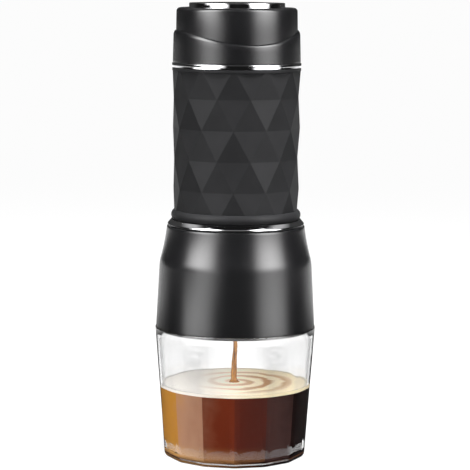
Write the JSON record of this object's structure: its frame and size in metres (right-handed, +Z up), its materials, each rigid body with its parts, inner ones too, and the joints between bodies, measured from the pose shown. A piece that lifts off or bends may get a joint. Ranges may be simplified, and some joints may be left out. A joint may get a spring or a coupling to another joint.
{
  "type": "handheld manual espresso maker",
  "caption": "Hand-pumped portable espresso maker: faceted grip round a water tank, press knob on top, brewing head with a basket, and a clear cup as its base.",
  "frame": {"origin": "middle of the cup's foot, on the surface the maker stands on", "axes": "+Z up along the maker's axis; -Y is the front that the picture shows, +X is its right"},
  "size_m": [0.075, 0.075, 0.2125],
  "materials": {
    "black_shell": "satin black lacquer",
    "black_gloss": "gloss black",
    "grip_rubber": "matte, moulded facets",
    "bright_trim": "polished chrome plate",
    "stainless_steel": "satin stainless steel",
    "dark_plastic": "moulded, fine grain",
    "bearing_plastic": "smooth natural acetal",
    "seal_rubber": "smooth silicone",
    "clear_cup": "clear, polished",
    "coffee": "espresso under pale golden foam"
  },
  "bodies": {
    "tank": {"water_tank": "dark_plastic", "tank_foot": "dark_plastic", "shower_screen": "stainless_steel", "screen_screw": "stainless_steel", "brew_gasket": "seal_rubber", "tank_jacket": "stainless_steel", "grip_sleeve": "grip_rubber", "top_trim_ring": "bright_trim", "base_trim_ring": "bright_trim"},
    "lid": {"lid_base": "dark_plastic", "lid_collar": "black_shell", "lid_gasket": "seal_rubber", "rod_bush": "bearing_plastic", "rod_seal": "seal_rubber", "return_spring": "stainless_steel", "pump_cylinder": "stainless_steel", "cylinder_seal": "seal_rubber", "valve_block": "dark_plastic", "nose_seal": "seal_rubber", "inlet_flap": "seal_rubber", "outlet_seat": "bearing_plastic", "outlet_spring": "stainless_steel"},
    "washer": {"thrust_washer": "bearing_plastic"},
    "plunger": {"pump_rod": "stainless_steel", "piston": "dark_plastic", "piston_seal": "seal_rubber", "piston_screw": "stainless_steel", "pump_knob": "black_shell", "knob_screw": "stainless_steel", "knob_trim_ring": "bright_trim", "knob_cap_disc": "black_gloss"},
    "valve_ball": {"outlet_ball": "stainless_steel"},
    "head": {"brew_housing": "black_shell", "basket_holder": "dark_plastic", "housing_screws": "stainless_steel", "outlet_nozzle": "bearing_plastic", "nozzle_seal": "seal_rubber"},
    "basket": {"filter_basket": "stainless_steel", "basket_screen": "stainless_steel"},
    "cup": {"cup": "clear_cup", "coffee": "coffee"}
  },
  "joints": [
    {"name": "lid_off", "type": "slide", "parent": "tank", "child": "lid", "axis": [0, 0, 1], "range_m": [0, 0.095]},
    {"name": "pump_stroke", "type": "slide", "parent": "lid", "child": "washer", "axis": [0, 0, 1], "range_m": [0, 0.016], "deforming": ["return_spring"]},
    {"name": "knob_turn", "type": "hinge", "parent": "washer", "child": "plunger", "pos_m": [0, 0, 0.199], "axis": [0, 0, 1], "range_deg": [0, 45]},
    {"name": "outlet_valve_open", "type": "slide", "parent": "lid", "child": "valve_ball", "axis": [0, 0, -1], "range_m": [0, 0.001], "stiffness_N_per_m": 20, "springref_m": -0.002, "deforming": ["outlet_spring"]},
    {"name": "head_off", "type": "slide", "parent": "tank", "child": "head", "axis": [0, 0, -1], "range_m": [0, 0.08]},
    {"name": "basket_out", "type": "slide", "parent": "head", "child": "basket", "axis": [0, 0, 1], "range_m": [0, 0.04]},
    {"name": "cup_off", "type": "slide", "parent": "head", "child": "cup", "axis": [0, 0, -1], "range_m": [0, 0.03]}
  ],
  "couplings": [
    {"joint": "basket_out", "follows": "head_off", "ratio": 0.5}
  ]
}
